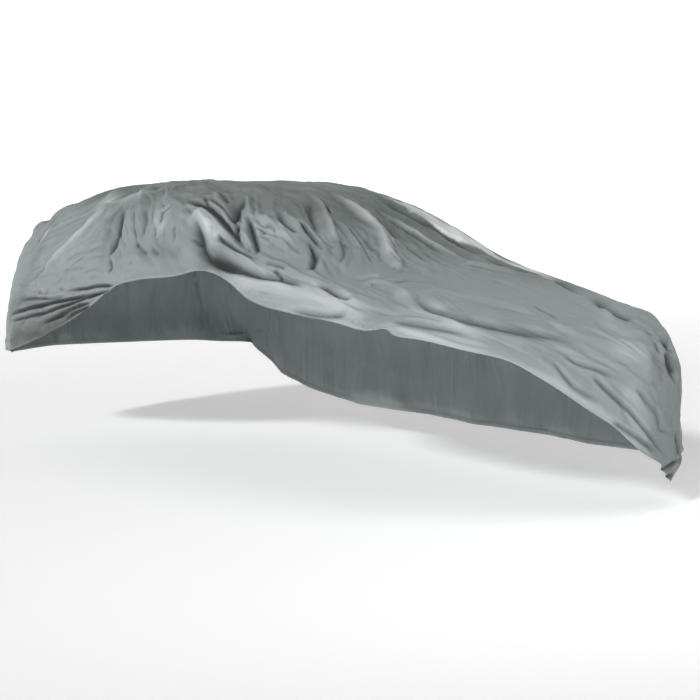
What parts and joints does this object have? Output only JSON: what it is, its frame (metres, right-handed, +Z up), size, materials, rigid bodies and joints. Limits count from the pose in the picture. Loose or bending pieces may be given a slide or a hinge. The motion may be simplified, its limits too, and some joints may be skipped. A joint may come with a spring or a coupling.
{
  "type": "fitted car cover",
  "caption": "One-piece cloth car cover draped over a saloon's shape, with one side lifted to the belt line and the far front corner reaching down.",
  "frame": {"origin": "the point under the cover's top, on its inner face over the middle of the roof, that rests on what it covers; the floor lies 1.5535 m below", "axes": "+X to the front of the covered car, +Y to its far side, where the cover hangs down in full, +Z up"},
  "size_m": [4.95, 1.919, 1.4284],
  "materials": {
    "cover_cloth": "satin coated polyester cloth, silver grey"
  },
  "bodies": {
    "root": {"cover": "cover_cloth"}
  },
  "joints": []
}
